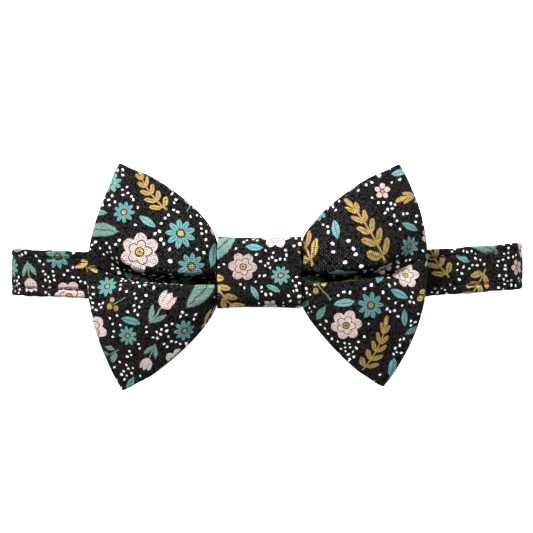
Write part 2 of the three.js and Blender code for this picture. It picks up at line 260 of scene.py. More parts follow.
def overhang(along, v, face):
    """How far the tucked cloth leans over the crease, as a share of the wing's half height there."""
    place = ridge_place(along, v, face)
    swell = np.sin((math.pi / 2) * np.minimum(2, np.abs(v) / place))
    return tucked(along, v, face) * TUCK_OVERHANG * place * swell


def wing_reach(wing, v):
    middle = wing["reach"] * BOW_WIDTH
    corner = np.where(v > 0, wing["top_reach"], wing["bottom_reach"]) * BOW_WIDTH
    curve = np.where(v > 0, wing["top_curve"], wing["bottom_curve"])
    return middle - (middle - corner) * np.abs(v) ** curve - WALL_HALF


def flare(along, power):
    """A long edge's way from the knot (0) to the wing's corner (1)."""
    start = FLARE_START**power
    return ((along + FLARE_START) ** power - start) / ((1 + FLARE_START) ** power - start)


def wrinkles(wing, along, v, face):
    """How far the cloth stands off its plain form: folds fanning out of the knot, slack, puckered edges."""
    distance = np.abs(v)
    phase = 1.9 * wing["side"] + 0.8 * face + 2.3 * np.sign(v)
    fan = FAN_HEIGHT * np.exp(-along / 0.16) * np.sin(15 * distance + phase)
    fan = fan * smooth(distance, 0.16, 0.34) * (0.3 + 0.7 * smooth(along, 0, 0.06))
    long_fold = LONG_FOLD_HEIGHT * bell(distance, 0.66 + 0.06 * face, 0.09)
    long_fold = long_fold * smooth(along, 0, 0.12) * np.exp(-along / 0.3)
    slack = SLACK_HEIGHT * np.sin(5.2 * along + 3.1 * v + phase) * np.sin(4.4 * v - 2.6 * along + 1.3 * phase)
    slack = slack * smooth(along, 0.05, 0.3) * (1 - 0.5 * smooth(along, 0.8, 1)) * smooth(distance, 0.05, 0.2)
    pucker = PUCKER_HEIGHT * np.sin(31 * along + 3 * phase + 1.6 * np.sin(9 * along))
    pucker = pucker * smooth(distance, 0.86, 1.0) * smooth(along, 0.08, 0.2)
    return fan + long_fold + slack + pucker


def panel(wing, along, v, face):
    """The cloth's middle surface on a front (1) or back (-1) panel, from the middle of the knot."""
    wing_start = KNOT_WIDTH / 2 + FIT
    x = wing_start + (wing_reach(wing, v) - FOLD_RADIUS - wing_start) * along
    corner = np.where(v > 0, wing["top_height"], wing["bottom_height"]) * BOW_HEIGHT - WALL_HALF
    corner = corner - CORNER_POINT * smooth(along, 0.7, 1.0)
    spread = np.where(v > 0, flare(along, wing["top_flare"]), flare(along, wing["bottom_flare"]))
    peek = BACK_PANEL_PEEK * np.sin(math.pi * np.sqrt(along)) * v * v * (face > 0)
    half = PLEAT_HALF_HEIGHT + (corner - PLEAT_HALF_HEIGHT) * spread - peek
    crease_bend = (wing["crease_at_end"] - wing["crease_at_knot"]) * along**CREASE_BEND
    shift = DETAIL["shift"](along) * wing["crease_shift"] * (face > 0)
    crease_y = (wing["crease_at_knot"] + crease_bend) * BOW_HEIGHT - shift
    y = v * half + crease_y * (1 - np.abs(v)) + overhang(along, v, face) * half
    z = pleat_height(along, v, face) + face * WING_PUFF * FRONT["gap"](along)
    z = z + wrinkles(wing, along, v, face)
    z = z - DETAIL["groove"](along) * bell(v * half, 0, GROOVE_WIDTH) * (face > 0)
    return np.stack(np.broadcast_arrays(wing["side"] * x, y, z), -1)


FRONT_STATIONS = 84
BACK_STATIONS = 44
FOLD_STATIONS = 11
PINCH_STATIONS = 4
ACROSS = 149
CLOSER_AT_CREASE = 0.4
CLOSER_AT_KNOT = 1.1
RIM_STEPS = 7
RIM_SEAM_DEPTH = 0.3
RIM_SEAM_WIDTH = 0.3


def places_across(steps, start):
    """Places across the cloth from start to 1, closer together beside the crease."""
    t = np.linspace(start, 1, steps)
    return t * (CLOSER_AT_CREASE + (1 - CLOSER_AT_CREASE) * np.abs(t))


def pinched(wing, v, face, shares):
    """The cloth inside the knot, at shares of the way from its middle to the wing."""
    share = shares[:, None, None]
    narrow = 1 - PINCH_INSIDE_KNOT * (1 - share**2)
    return panel(wing, np.zeros((1, 1)), v, face) * np.concatenate([share, narrow, share**0], -1)


def wing_rows(wing, v):
    """The middle surface of one wing from the pinch, out along the front, round the fold and back.
    With it come its rows' places, each a kind, a face, and how far along, round or in it lies."""
    shares = np.arange(1, PINCH_STATIONS + 1) / (PINCH_STATIONS + 1)
    front = np.linspace(0, 1, FRONT_STATIONS) ** CLOSER_AT_KNOT
    back = np.linspace(1, 0, BACK_STATIONS)
    angles = np.linspace(math.pi / 2, -math.pi / 2, FOLD_STATIONS + 2)[1:-1]
    start = panel(wing, np.ones((1, 1)), v, 1)
    end = panel(wing, np.ones((1, 1)), v, -1)
    mix = (1 - np.sin(angles))[:, None, None] / 2
    turn = start * (1 - mix) + end * mix
    out = np.cos(angles)[:, None]
    turn[..., 0] += wing["side"] * FOLD_RADIUS * out
    turn[..., 1] += CORNER_POINT * out * np.sign(v) * v**4
    rows = [pinched(wing, v, 1, shares), panel(wing, front[:, None], v, 1), turn,
            panel(wing, back[:, None], v, -1), pinched(wing, v, -1, shares[::-1])]
    places = [("pinch", 1, s) for s in shares] + [("panel", 1, s) for s in front]
    places += [("fold", 0, a) for a in angles] + [("panel", -1, s) for s in back]
    places += [("pinch", -1, s) for s in shares[::-1]]
    return np.concatenate(rows), places


def flatten(grid):
    """Lays a grid of points out flat by least squares, with its angles kept.
    The ends of its first row lie at 0 and straight up from there."""
    rows, cols = grid.shape[:2]
    number = np.arange(rows * cols).reshape(rows, cols)
    a, b, c, d = number[:-1, :-1], number[1:, :-1], number[1:, 1:], number[:-1, 1:]
    triangles = np.concatenate([np.stack(corners, -1).reshape(-1, 3) for corners in ((a, b, c), (a, c, d))])
    points = grid.reshape(-1, 3)[triangles]
    first, second = points[:, 1] - points[:, 0], points[:, 2] - points[:, 0]
    length = np.linalg.norm(first, axis=1)
    x = (first * second).sum(1) / length
    y = np.sqrt(np.maximum((second**2).sum(1) - x**2, 1e-12))
    corner = np.stack([0 * x + 0j, length + 0j, x + 1j * y], 1)
    weight = (np.roll(corner, -2, 1) - np.roll(corner, -1, 1)) / np.sqrt(length * y)[:, None]
    system = np.zeros((len(triangles), rows * cols), complex)
    system[np.arange(len(triangles))[:, None], triangles] = weight
    reach = np.linalg.norm(np.diff(grid[0], axis=0), axis=1).sum()
    held = np.array([0, cols - 1])
    free = np.setdiff1d(np.arange(rows * cols), held)
    pinned = np.array([0, 1j * reach])
    flat = np.zeros(rows * cols, complex)
    flat[held] = pinned
    flat[free] = np.linalg.lstsq(system[:, free], -system[:, held] @ pinned, rcond=None)[0]
    return np.stack([flat.real, flat.imag], -1).reshape(rows, cols, 2)


CHART_ALONG = np.linspace(1, 0, 26)
CHART_ACROSS = places_across(20, 0)


def half_chart(wing, side):
    """Where the cloth of a wing's upper (1) or lower (-1) half lay when flat, inwards from the outer fold."""
    return flatten(panel(wing, CHART_ALONG[:, None], side * CHART_ACROSS[None, :], 1))


def read_chart(chart, along, across):
    """Reads a half's chart at one place along the wing, for many places across it."""
    at = np.interp(1 - along, 1 - CHART_ALONG, np.arange(len(CHART_ALONG)))
    low = int(min(at, len(CHART_ALONG) - 2))
    row = chart[low] + (chart[low + 1] - chart[low]) * (at - low)
    return points_at(across, CHART_ACROSS, row)


def wing_chart(wing, places, v, fold_at):
    """Flat places of every row of a wing, as read on its upper and on its lower half.
    fold_at is the place of the outer fold."""
    both = []
    for side in (1, -1):
        chart = half_chart(wing, side)
        across = np.clip(side * v, 0, 1)
        rows = []
        for kind, face, value in places:
            along = {"panel": value, "fold": 1.0, "pinch": 0.0}[kind]
            flat = read_chart(chart, along, across)
            flat[:, 1] *= side
            if kind == "fold":
                flat[:, 0] = FOLD_RADIUS * (math.pi / 2 - value) - flat[:, 0]
            elif face > 0:
                flat[:, 0] *= -1
            else:
                flat[:, 0] += FOLD_RADIUS * math.pi
            if kind == "pinch":
                flat[:, 0] -= face * (1 - value) * KNOT_WIDTH / 2
            rows.append(flat + fold_at)
        both.append(np.stack(rows))
    return both


def wrapped(middle, half_thickness):
    """Gives a closed loop of rows its thickness, with rolled long edges that meet in a seam."""
    along = np.roll(middle, -1, 0) - np.roll(middle, 1, 0)
    normal = unit(np.cross(along, np.gradient(middle, axis=1)))
    outer = middle + normal * half_thickness[..., None]
    inner = middle - normal * half_thickness[..., None]

    def rim(edge, inside):
        away = unit(middle[:, edge] - middle[:, inside])
        thick = half_thickness[:, edge, None]
        steps = []
        for angle in np.linspace(0, math.pi, RIM_STEPS + 2)[1:-1]:
            size = thick * (1 - RIM_SEAM_DEPTH * bell(angle, math.pi / 2, RIM_SEAM_WIDTH))
            way = math.cos(angle) * normal[:, edge] + math.sin(angle) * away
            steps.append(middle[:, edge] + size * way)
        return np.stack(steps, 1)

    return np.concatenate([outer, rim(-1, -2), inner[:, ::-1], rim(0, 1)[:, ::-1]], 1)


def ring_like(values):
    """Spreads values given across the cloth over the section that wrapped() makes."""
    upper = np.repeat(values[:, -1:], RIM_STEPS, 1)
    lower = np.repeat(values[:, :1], RIM_STEPS, 1)
    return np.concatenate([values, upper, values[:, ::-1], lower], 1)


def grid_faces(rings, per_ring, closed):
    """Quads of a tube of rings, with the ring and the place in it of their corners."""
    i, j = np.meshgrid(np.arange(rings if closed else rings - 1), np.arange(per_ring), indexing="ij")
    next_i, next_j = (i + 1) % rings, (j + 1) % per_ring
    corner_i = np.stack([i, i, next_i, next_i], -1).reshape(-1, 4)
    corner_j = np.stack([j, next_j, next_j, j], -1).reshape(-1, 4)
    return corner_i * per_ring + corner_j, corner_i, corner_j


def signed_volume(points, faces):
    total = 0.0
    for k in range(1, faces.shape[1] - 1):
        a, b, c = (points[faces[:, n]] for n in (0, k, k + 1))
        total += (a * np.cross(b, c)).sum()
    return total


def make_piece(name, points, faces, maps, material, extra_faces=()):
    """A mesh object from points in millimetres, with smooth faces pointing out and its UV maps."""
    points = points.reshape(-1, 3)
    if signed_volume(points, faces) < 0:
        faces = faces[:, ::-1]
        maps = {key: value[:, ::-1] for key, value in maps.items()}
        extra_faces = [face[::-1] for face in extra_faces]
    mesh = bpy.data.meshes.new(name)
    mesh.from_pydata((points * MM).tolist(), [], faces.tolist() + [list(face) for face in extra_faces])
    mesh.polygons.foreach_set("use_smooth", np.ones(len(mesh.polygons), bool))
    for key, value in maps.items():
        layer = mesh.uv_layers.new(name=key)
        flat = np.zeros((len(mesh.loops), 2), np.float32)
        flat[: value.shape[0] * value.shape[1]] = value.reshape(-1, 2)
        layer.uv.foreach_set("vector", flat.ravel())
    mesh.materials.append(material)
    piece = bpy.data.objects.new(name, mesh)
    bpy.context.collection.objects.link(piece)
    return piece


# The print: motifs laid out on one flat length of cloth, from which every piece is cut
CLOTH_LENGTH = 362.0
CLOTH_BREADTH = 116.0
CELL = 0.125
CLEARANCE = 0.38
NO_MOTIF_NEAR = 99.0
MOTIF_SURROUNDINGS = 6.0
SPINE_PLACES = 5
PRINT_SEED = 23
RIGHT_WING_AT = np.array([50.0, 40.0])
LEFT_WING_AT = np.array([144.0, 40.0])
KNOT_AT = np.array([234.0, 40.0])
STRAP_AT = np.array([181.0, 90.0])

# half_length and half_width are the motif's footprint as drawn.
# It is enlarged by scale, less up to shrink of it. Tries is how many places are tried for its kind.
MOTIFS = table(
    "name half_length half_width scale shrink tries",
    ("laurel", 7.4, 3.4, 1.35, 0.25, 190),
    ("bloom", 4.5, 4.5, 1.05, 0.3, 170),
    ("frond", 2.5, 0.95, 2.7, 0.2, 360),
    ("branch", 7.0, 3.0, 1.15, 0.2, 240),
    ("tulip", 4.6, 2.3, 1.15, 0.2, 300),
    ("daisy", 3.5, 3.5, 1.0, 0.25, 2000),
    ("blossom", 1.9, 1.9, 1.35, 0.3, 500),
    ("berries", 3.6, 2.3, 1.1, 0.2, 2500),
    ("leaf", 2.5, 0.95, 1.4, 0.4, 6000),
    ("seed", 0.4, 0.33, 1.05, 0.3, 40000),
)


def lay_out_print():
    """Throws motifs on the cloth, kind by kind, each where it has room.
    Gives each one's place, turn, size and kind, and for each cell of the cloth the nearest motif."""
    chance = np.random.default_rng(PRINT_SEED)
    shape = (int(CLOTH_LENGTH / CELL), int(CLOTH_BREADTH / CELL))
    room = np.full(shape, NO_MOTIF_NEAR, np.float32)
    nearest = np.zeros(shape, np.int32)
    placed = []
    for kind, motif in enumerate(MOTIFS):
        tries = motif["tries"]
        middles = chance.uniform((0, 0), (CLOTH_LENGTH, CLOTH_BREADTH), (tries, 2))
        turns = chance.uniform(0, 2 * math.pi, tries)
        sizes = motif["scale"] * (1 - motif["shrink"] * chance.uniform(0, 1, tries))
        for middle, turn, size in zip(middles, turns, sizes):
            width = motif["half_width"] * size
            spine = motif["half_length"] * size - width
            way = np.array([math.cos(turn), math.sin(turn)])
            places = middle + np.linspace(-spine, spine, SPINE_PLACES)[:, None] * way
            index = np.clip((places / CELL).astype(int), 0, np.array(shape) - 1)
            if room[index[:, 0], index[:, 1]].min() < width + CLEARANCE:
                continue
            reach = spine + width + MOTIF_SURROUNDINGS
            low = np.maximum(((middle - reach) / CELL).astype(int), 0)
            high = np.minimum(((middle + reach) / CELL).astype(int) + 1, shape)
            x = (np.arange(low[0], high[0]) + 0.5)[:, None] * CELL - middle[0]
            y = (np.arange(low[1], high[1]) + 0.5)[None, :] * CELL - middle[1]
            lengthwise = x * way[0] + y * way[1]
            beyond = np.maximum(np.abs(lengthwise) - spine, 0)
            away = np.hypot(beyond, y * way[0] - x * way[1]) - width
            window = np.s_[low[0]:high[0], low[1]:high[1]]
            closer = away < room[window]
            room[window] = np.where(closer, away, room[window])
            nearest[window] = np.where(closer, len(placed), nearest[window])
            placed.append((middle[0], middle[1], turn, size, kind, chance.uniform()))
    return np.array(placed), nearest


PLACED, NEAREST = lay_out_print()


def print_maps(chart):
    """UV maps for faces whose corners lie at the chart's places on the flat cloth.
    cloth is that place, motif the place within the nearest motif, and motif_kind its kind and tone."""
    middle = chart.mean(1)
    index = np.clip((middle / CELL).astype(int), 0, np.array(NEAREST.shape) - 1)
    motif = PLACED[NEAREST[index[:, 0], index[:, 1]]]
    away = chart - motif[:, None, :2]
    c, s = np.cos(motif[:, 2])[:, None], np.sin(motif[:, 2])[:, None]
    size = motif[:, 3][:, None]
    lengthwise = (away[..., 0] * c + away[..., 1] * s) / size
    sideways = (away[..., 1] * c - away[..., 0] * s) / size
    kind = np.repeat(motif[:, None, 4:6], chart.shape[1], 1)
    return {"cloth": chart, "motif": np.stack([sideways, lengthwise], -1), "motif_kind": kind}


# The hem pressed along the bow's long edges: where it lies, how wide, and how much thicker it is
HEM_PLACE = 0.9
HEM_WIDTH = 0.07
HEM_SWELL = 0.16


def make_bow(material):
    v = places_across(ACROSS, -1)
    left_wing, right_wing = WINGS
    right, right_places = wing_rows(right_wing, v)
    left, left_places = wing_rows(left_wing, v)
    front, back = (pinched(right_wing, v, face, np.zeros(1)) for face in (1, -1))
    rows = np.concatenate([front, right, back, left[::-1]]) + KNOT_MIDDLE
    right_charts = wing_chart(right_wing, right_places, v, RIGHT_WING_AT)
    left_charts = wing_chart(left_wing, left_places, v, LEFT_WING_AT)
    along = np.abs(rows[:, :, 0] - KNOT_MIDDLE[0]) / (BOW_WIDTH / 2)
    hem = bell(np.abs(v), HEM_PLACE, HEM_WIDTH) * smooth(along, 0.4, 0.6)
    rings = wrapped(rows, WALL_HALF * (1 + HEM_SWELL * hem))
    faces, corner_i, corner_j = grid_faces(*rings.shape[:2], True)
    v_ring = ring_like(v[None, :])[0]
    halves = []
    for right_chart, left_chart in zip(right_charts, left_charts):
        chart = np.concatenate([right_chart[:1], right_chart, right_chart[-1:], left_chart[::-1]])
        halves.append(ring_like(chart))
    upper = v_ring[corner_j].mean(1) > 0
    chart = np.where(upper[:, None, None], halves[0][corner_i, corner_j], halves[1][corner_i, corner_j])
    return make_piece("bow_cloth", rings, faces, print_maps(chart), material)


def rounded_section(half_wide, half_high, radius, step):
    """Points about a step apart round a rectangle with round corners, and how far round it each lies."""
    points = []
    for quarter, (sx, sy) in enumerate([(1, 1), (-1, 1), (-1, -1), (1, -1)]):
        centre = np.array([sx * (half_wide - radius), sy * (half_high - radius)])
        turns = np.linspace(0, math.pi / 2, 13) + quarter * math.pi / 2
        points.append(centre + radius * np.stack([np.cos(turns), np.sin(turns)], -1))
    loop = np.concatenate(points + [points[0][:1]])
    length = lengths_along(loop)
    at = np.linspace(0, length[-1], int(length[-1] / step) + 1)[:-1]
    return points_at(at, length, loop), at


# The knot: a folded strip round the pinch
KNOT_STATIONS = 61
KNOT_STEP = 0.42
KNOT_PUFF = 0.35
KNOT_FOLD_HEIGHT = 0.16
KNOT_SMALL_FOLD_HEIGHT = 0.1
KNOT_EDGE_WAVER = 0.12


def make_knot(material):
    middle_y, middle_z = (KNOT_HEIGHT - KNOT_WALL) / 2, (KNOT_DEPTH - KNOT_WALL) / 2
    section, round_at = rounded_section(middle_y, middle_z, KNOT_CORNER - KNOT_WALL / 2, KNOT_STEP)
    share = np.linspace(-1, 1, KNOT_STATIONS)
    flat_width = KNOT_WIDTH - KNOT_WALL
    pull = KNOT_WAIST * (1 - share**2)
    plain_y, plain_z = section[:, :1], section[:, 1:]
    tuck = KNOT_FOLD_HEIGHT * np.sin(7.5 * share + 0.12 * plain_y)
    tuck = tuck + KNOT_SMALL_FOLD_HEIGHT * np.sin(15 * share + 0.3 * plain_y)
    puff = KNOT_PUFF * (1 - share**2) * np.cos(0.5 * math.pi * plain_y / middle_y)
    x = share * flat_width / 2 + KNOT_EDGE_WAVER * np.sin(0.9 * plain_y) * share**2
    y = plain_y * (1 - pull / middle_y)
    z = plain_z * (1 - pull / middle_z) + smooth(plain_z / middle_z, 0.5, 1.0) * (tuck + puff)
    rows = np.stack(np.broadcast_arrays(x, y, z), -1)
    rings = wrapped(rows, np.full(rows.shape[:2], KNOT_WALL / 2)) + KNOT_MIDDLE
    faces, corner_i, corner_j = grid_faces(*rings.shape[:2], True)
    across = np.broadcast_to(share * flat_width / 2, rows.shape[:2])
    round_the_knot = np.broadcast_to(round_at[:, None], rows.shape[:2])
    chart = ring_like(np.stack([round_the_knot, across], -1)) + KNOT_AT
    corner = chart[corner_i, corner_j]
    last = corner_i.max(1) - corner_i.min(1) > 1
    once_round = (round_at[-1] + KNOT_STEP, 0)
    corner[last] = np.where((corner_i[last] == 0)[..., None], corner[last] + once_round, corner[last])
    return make_piece("knot_cloth", rings, faces, print_maps(corner), material)


# The strap's centre line as the source draws it, from the middle of the top to the tab's end on the right
def strap_half_route():
    half = STRAP_THICKNESS / 2
    top = STRAP_HIGH[2]
    reach = (STRAP_HIGH[0] - STRAP_LOW[0]) / 2 - half
    fall = top - STRAP_THICKNESS
    s, c = math.sin(CROWN_ANGLE), math.cos(CROWN_ANGLE)
    crown_radius = (reach * (1 + c) - fall * (1 - s)) / (s * (1 + c) - (1 - c) * (1 - s))
    end_radius = (fall - crown_radius * (1 - c)) / (1 + c)
    points = [np.array([0.0, top - half])]
    heading = 0.0

    def arc(radius, angle, steps):
        nonlocal heading
        way = math.copysign(1, angle)
        centre = points[-1] + way * radius * np.array([-math.sin(heading), math.cos(heading)])
        for turn in heading + angle * np.arange(1, steps + 1) / steps:
            points.append(centre + way * radius * np.array([math.sin(turn), -math.cos(turn)]))
        heading += angle

    arc(crown_radius, -CROWN_ANGLE, 60)
    arc(end_radius, CROWN_ANGLE - math.pi, 60)
    bar_edge = CLASP_HIGH[0] - CLASP_RAIL_INSET / 2 - CLASP_BAR_WIDTH
    around_bar = CLASP_BAR_THICKNESS / 2 + FIT + half
    points.append(np.array([bar_edge + CLASP_BAR_THICKNESS / 2, points[-1][1]]))
    arc(around_bar, -math.pi, 24)
    heading = 0.0
    points.append(np.array([bar_edge + CLASP_BAR_WIDTH, points[-1][1]]))
    drop = 2 * around_bar - (STRAP_THICKNESS + FIT)
    ramp = math.acos(1 - drop / (2 * TAB_RAMP_RADIUS))
    arc(TAB_RAMP_RADIUS, -ramp, 12)
    arc(TAB_RAMP_RADIUS, ramp, 12)
    points.append(points[-1] + (SEWN_TAB_LENGTH, 0))
    return np.array(points)


def strap_rise(x):
    share = np.abs(x) / ((STRAP_HIGH[0] - STRAP_LOW[0]) / 2)
    return np.where(x < 0, LEFT_END_RISE, RIGHT_END_RISE) * share**2


class Route:
    """The strap's centre line by length, with its direction and the way out of the loop."""

    def __init__(self):
        right = strap_half_route()
        left = right[:0:-1] * (-1, 1)
        self.line = np.concatenate([left, right])
        self.at = lengths_along(self.line)
        self.length = self.at[-1]

    def flat(self, t):
        return points_at(t, self.at, self.line)

    def frame(self, t):
        """Centre, direction and outward normal at lengths t."""
        here = self.flat(t)
        way = unit(self.flat(np.minimum(t + 0.4, self.length)) - self.flat(np.maximum(t - 0.4, 0)))
        zero = 0 * way[:, 0]
        centre = np.stack([here[:, 0], STRAP_Y + strap_rise(here[:, 0]), here[:, 1]], -1)
        return centre, np.stack([way[:, 0], zero, way[:, 1]], -1), np.stack([-way[:, 1], zero, way[:, 0]], -1)


STRAP_STEP = 0.85
STRAP_SECTION_STEP = 0.22


def make_strap(material, route):
    half_wide, half_thick = STRAP_WIDTH / 2, STRAP_THICKNESS / 2
    section, round_at = rounded_section(half_wide, half_thick, STRAP_EDGE_ROUND, STRAP_SECTION_STEP)
    t = np.linspace(0, route.length, int(route.length / STRAP_STEP))
    centre, way, out = route.frame(t)
    y, n = section[:, 0][None, :], section[:, 1][None, :]
    line = half_wide - STITCH_FROM_EDGE
    groove = bell(np.abs(y), line, STITCH_GROOVE_WIDTH) * smooth(np.abs(n), 0.6, 0.95)
    pulse = 1 + STITCH_PULL * np.cos(2 * math.pi * t / STITCH_PITCH)[:, None]
    ripple = RIPPLE_HEIGHT * np.sin(2 * math.pi * (t[:, None] + 0.8 * y) / STITCH_PITCH)
    ripple = ripple * bell(np.abs(y), line + 0.9, 0.9)
    pillow = PILLOW_HEIGHT * np.cos(math.pi * y / (2 * line)) * (np.abs(y) < line)
    relief = pillow + ripple - STITCH_GROOVE_DEPTH * groove * pulse
    height = np.sign(n) * relief * smooth(np.abs(n), 0.5, 0.95)
    waver = 0.1 * np.sin(0.55 * t) + 0.07 * np.sin(1.7 * t + 1)
    other_waver = 0.09 * np.sin(0.47 * t + 2) + 0.08 * np.sin(1.55 * t + 4)
    wide = y + np.where(y > 0, waver[:, None], other_waver[:, None]) * smooth(np.abs(y), line, half_wide)
    rings = centre[:, None] + out[:, None] * (n + height)[..., None]
    rings = rings + wide[..., None] * np.array([0, 1, 0])
    rings[..., 2] = np.maximum(rings[..., 2], 0)
    count, per_ring = rings.shape[:2]
    faces, corner_i, corner_j = grid_faces(count, per_ring, False)
    once_round = round_at[-1] + STRAP_SECTION_STEP
    across = (round_at + half_thick) % once_round
    chart = np.stack(np.meshgrid(t - route.length / 2, across, indexing="ij"), -1)
    corner = chart[corner_i, corner_j]
    wraps = np.ptp(corner[..., 1], axis=1) > half_wide
    lifted = corner[wraps, :, 1]
    corner[wraps, :, 1] = np.where(lifted < once_round / 2, lifted + once_round, lifted)
    maps = print_maps(corner + STRAP_AT - (0, half_wide))
    ends = [list(range(per_ring)), [(count - 1) * per_ring + j for j in reversed(range(per_ring))]]
    return make_piece("strap_cloth", rings, faces, maps, material, ends)


def thread_meshes(ends, outward):
    """Short stitches as bowed capsules: ends is (n, 2, 3), outward the way each one bows."""
    steps, sides = 8, 6
    share = np.linspace(-1, 1, steps)
    line = ends[:, None, 0] + (ends[:, None, 1] - ends[:, None, 0]) * ((share + 1) / 2)[None, :, None]
    line = line + outward[:, None] * (THREAD_RADIUS * (0.6 - 2.2 * share**2))[None, :, None]
    sideways = np.cross(unit(ends[:, 1] - ends[:, 0]), outward)
    turns = np.arange(sides) * 2 * math.pi / sides
    size = THREAD_RADIUS * np.sqrt(np.clip(1 - 0.85 * share**6, 0, 1))
    ring = np.cos(turns)[:, None] * outward[:, None] + np.sin(turns)[:, None] * sideways[:, None]
    points = line[:, :, None] + size[None, :, None, None] * ring[:, None]
    one = grid_faces(steps, sides, False)[0]
    offset = (np.arange(len(ends)) * steps * sides)[:, None, None]
    faces = (one[None] + offset).reshape(-1, 4)
    caps = [np.arange(sides)[::-1], (steps - 1) * sides + np.arange(sides)]
    ends_faces = [list(cap + k) for k in offset.ravel() for cap in caps]
    return points.reshape(-1, 3), faces, ends_faces


def make_stitches(material, route):
    """Both topstitch rows on both faces of the strap, and the rows across each sewn tab."""
    line = STRAP_WIDTH / 2 - STITCH_FROM_EDGE
    sunk = STRAP_THICKNESS / 2 - STITCH_SINK
    reaches = (-STITCH_LENGTH / 2, STITCH_LENGTH / 2)
    middles = (np.arange(int(route.length / STITCH_PITCH)) + 0.5) * STITCH_PITCH
    ends, ways = [], []
    for face in (1, -1):
        for y in (line, -line):
            both = []
            for reach in reaches:
                centre, _, out = route.frame(middles + reach)
                both.append(centre + out * face * sunk + np.array([0, y, 0]))
            ends.append(np.stack(both, 1))
            ways.append(face * route.frame(middles)[2])
    for t in (TAB_SEAM_INSET, SEWN_TAB_LENGTH - TAB_SEAM_INSET):
        for place in (t, route.length - t):
            centre, _, out = route.frame(np.array([place]))
            surface = centre[0] + out[0] * STRAP_THICKNESS / 2
            for middle in np.arange(-line + STITCH_PITCH / 2, line, STITCH_PITCH):
                ends.append(np.array([[surface + (0, middle + reach, 0) for reach in reaches]]))
                ways.append(out)
    points, faces, caps = thread_meshes(np.concatenate(ends), np.concatenate(ways))
    points[:, 2] = np.maximum(points[:, 2], 0)
    return make_piece("strap_topstitch", points, faces, {}, material, caps)


# The elastic keeper: ribs run round the loop
KEEPER_RIBS = 9
KEEPER_STATIONS = 91


def make_keeper(material):
    low, high = KEEPER_LOW, KEEPER_HIGH
    half_y, half_z = (high - low)[1:] / 2
    inside = KEEPER_WALL / 2
    section, round_at = rounded_section(half_y - inside, half_z - inside, inside + 0.05, 0.35)
    share = np.linspace(-1, 1, KEEPER_STATIONS)
    width = high[0] - low[0] - KEEPER_WALL
    rows = np.stack(np.broadcast_arrays(
        share[None, :] * width / 2, section[:, 0][:, None], section[:, 1][:, None]), -1)
    rib = np.abs(np.sin(KEEPER_RIBS * math.pi * (share + 1) / 2))
    thick = np.broadcast_to(inside * (0.8 + 0.2 * rib), rows.shape[:2])
    rings = wrapped(rows, thick) + KEEPER_MIDDLE
    faces, corner_i, corner_j = grid_faces(*rings.shape[:2], True)
    chart = ring_like(np.stack(np.meshgrid(round_at, share * width / 2, indexing="ij"), -1))
    return make_piece("keeper_elastic", rings, faces, {"cloth": chart[corner_i, corner_j]}, material)


def feed(socket, value):
    """Links a shader's socket to what feeds it, or sets a plain number or colour on it."""
    if isinstance(value, Value):
        value = value.socket
    if isinstance(value, bpy.types.NodeSocket):
        socket.id_data.links.new(value, socket)
    elif socket.type == "RGBA":
        socket.default_value = (*value, 1.0)
    else:
        socket.default_value = value


class Value:
    """A number in a shader. Arithmetic on it adds Math nodes."""

    def __init__(self, socket):
        self.socket = socket

    def math(self, operation, *others, clamp=False):
        node = self.socket.id_data.nodes.new("ShaderNodeMath")
        node.operation = operation
        node.use_clamp = clamp
        for socket, value in zip(node.inputs, (self, *others)):
            feed(socket, value)
        return Value(node.outputs[0])

    __add__ = partialmethod(math, "ADD")
    __sub__ = partialmethod(math, "SUBTRACT")
    __rsub__ = partialmethod(math, "MULTIPLY_ADD", -1.0)
    __mul__ = partialmethod(math, "MULTIPLY")
    __truediv__ = partialmethod(math, "DIVIDE")
    __abs__ = partialmethod(math, "ABSOLUTE")
    sin = partialmethod(math, "SINE")
    fraction = partialmethod(math, "FRACT")
    floor = partialmethod(math, "FLOOR")
    least = partialmethod(math, "MINIMUM")
    most = partialmethod(math, "MAXIMUM")

    def ramp(self, low, high):
        """0 at low and 1 at high, straight between, where high may be the lower."""
        return self.math("MULTIPLY_ADD", 1 / (high - low), -low / (high - low), clamp=True)


def length_of(x, y):
    return (x * x + y * y).math("SQRT")


def turned(x, y, degrees):
    c, s = math.cos(math.radians(degrees)), math.sin(math.radians(degrees))
    return x * c + y * s, y * c - x * s


def ellipse(x, y, half_x, half_y):
    """About how far a place lies outside an ellipse, in millimetres."""
    return (length_of(x / half_x, y / half_y) - 1.0) * min(half_x, half_y)


def almond(x, y, half_length, half_width):
    """About how far a place lies outside a leaf that points along Y."""
    radius = (half_length**2 + half_width**2) / (2 * half_width)
    return length_of(abs(x) + (radius - half_width), y) - radius


def bar(x, y, half_width, half_length):
    """How far a place lies outside a bar that points along Y."""
    return (abs(x) - half_width).most(abs(y) - half_length)


def petals(x, y, count, middle, half_length, half_width, turn=0.0):
    """About how far a place lies outside a ring of petals."""
    angle = y.math("ARCTAN2", x) + turn
    slot = 2 * math.pi / count
    within = ((angle / slot).fraction() - 0.5) * slot
    distance = length_of(x, y)
    outward = distance * within.math("COSINE") - middle
    return ellipse(outward, distance * within.sin(), half_length, half_width)


def inside(distance, soft=0.07):
    """1 within a shape and 0 outside it."""
    return distance.ramp(soft, -soft)


def draw_laurel(x, y):
    bend = x - y * y * 0.022
    slot = 2.35
    step = (y + 6.2) / slot
    taper = 1.0 - (y + 6.0) * 0.045
    u, v = turned(abs(bend) / taper - 1.45, (step.fraction() - 0.5) * slot - 0.1, -48)
    leaves = ellipse(u, v, 0.62, 1.62).most(abs(y + 0.2) - 5.7)
    tip = ellipse(bend, y - 6.1, 0.55, 1.25)
    stem = bar(bend, y, 0.2, 6.9)
    vein = inside(bar(u, v, 0.07, 1.1), 0.05)
    return {"gold": inside(leaves.least(tip)) * (1.0 - vein * 0.8) + inside(stem) * 0.9}


